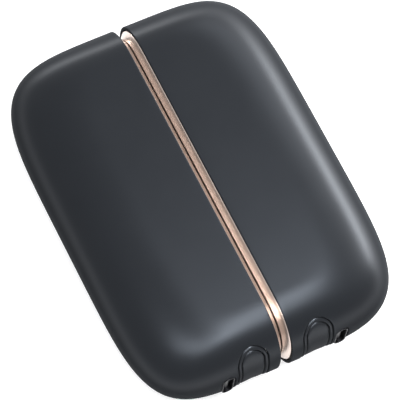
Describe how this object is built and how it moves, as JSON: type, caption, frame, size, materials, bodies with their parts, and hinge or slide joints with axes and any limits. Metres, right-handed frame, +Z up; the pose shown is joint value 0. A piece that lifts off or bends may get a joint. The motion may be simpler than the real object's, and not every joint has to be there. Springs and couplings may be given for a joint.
{
  "type": "rechargeable hand warmer",
  "caption": "Two-part rechargeable hand warmer: satin black D-shaped halves with rose gold trim along the seam, each with its own button and charging socket.",
  "frame": {"origin": "under the middle of the closed pair, on the surface it lies on", "axes": "+X across the seam towards the right half, +Y along the seam away from the buttons and charging sockets, +Z up"},
  "size_m": [0.076, 0.103, 0.027],
  "materials": {
    "shell": "satin soft-touch lacquer on moulded plastic",
    "trim": "rose gold, satin plated",
    "button": "satin moulded plastic, same tone as the shell",
    "cover": "fine textured black plastic",
    "frame": "natural glass-filled nylon",
    "steel": "nickel-plated steel",
    "dark_steel": "black-nickel plated steel",
    "magnet": "nickel-plated neodymium",
    "cell_wrap": "shrink-wrapped lithium cell",
    "foam": "closed-cell foam",
    "heater": "amber polyimide film on an aluminium spreader",
    "board": "green solder mask",
    "ferrite": "moulded ferrite",
    "insulator": "black moulded insulator",
    "connector": "white moulded nylon",
    "red_wire": "silicone insulation",
    "black_wire": "silicone insulation"
  },
  "bodies": {
    "left_half": {"left_outer_shell": "shell", "left_trim_ring": "trim", "left_mating_cover": "cover", "left_magnet_near": "magnet", "left_magnet_far": "magnet", "left_cell_frame": "frame", "left_frame_screw_1": "steel", "left_frame_screw_2": "steel", "left_frame_screw_3": "steel", "left_battery_cell": "cell_wrap", "left_cell_end_pad": "foam", "left_upper_heater": "heater", "left_lower_heater": "heater", "left_upper_insulation": "foam", "left_lower_insulation": "foam", "left_upper_heater_ribbon": "heater", "left_lower_heater_ribbon": "heater", "left_control_board": "board", "left_inductor": "ferrite", "left_battery_connector": "connector", "left_usb_c_shell": "dark_steel", "left_usb_c_insulator": "insulator", "left_tact_switch": "insulator", "left_button_bezel": "button", "left_positive_lead": "red_wire", "left_negative_lead": "black_wire", "left_temperature_sensor": "black_wire"},
    "right_half": {"right_outer_shell": "shell", "right_trim_ring": "trim", "right_mating_cover": "cover", "right_magnet_near": "magnet", "right_magnet_far": "magnet", "right_cell_frame": "frame", "right_frame_screw_1": "steel", "right_frame_screw_2": "steel", "right_frame_screw_3": "steel", "right_battery_cell": "cell_wrap", "right_cell_end_pad": "foam", "right_upper_heater": "heater", "right_lower_heater": "heater", "right_upper_insulation": "foam", "right_lower_insulation": "foam", "right_upper_heater_ribbon": "heater", "right_lower_heater_ribbon": "heater", "right_control_board": "board", "right_inductor": "ferrite", "right_battery_connector": "connector", "right_usb_c_shell": "dark_steel", "right_usb_c_insulator": "insulator", "right_tact_switch": "insulator", "right_button_bezel": "button", "right_positive_lead": "red_wire", "right_negative_lead": "black_wire", "right_temperature_sensor": "black_wire"},
    "left_button": {"left_button_cap": "button", "left_switch_stem": "insulator"},
    "right_button": {"right_button_cap": "button", "right_switch_stem": "insulator"}
  },
  "joints": [
    {"name": "halves_apart", "type": "slide", "parent": "left_half", "child": "right_half", "axis": [1, 0, 0], "range_m": [0, 0.05]},
    {"name": "left_button_press", "type": "slide", "parent": "left_half", "child": "left_button", "axis": [0, 1, 0], "range_m": [0, 0.0005], "stiffness_N_per_m": 3200, "springref_m": -0.0002},
    {"name": "right_button_press", "type": "slide", "parent": "right_half", "child": "right_button", "axis": [0, 1, 0], "range_m": [0, 0.0005], "stiffness_N_per_m": 3200, "springref_m": -0.0002}
  ]
}
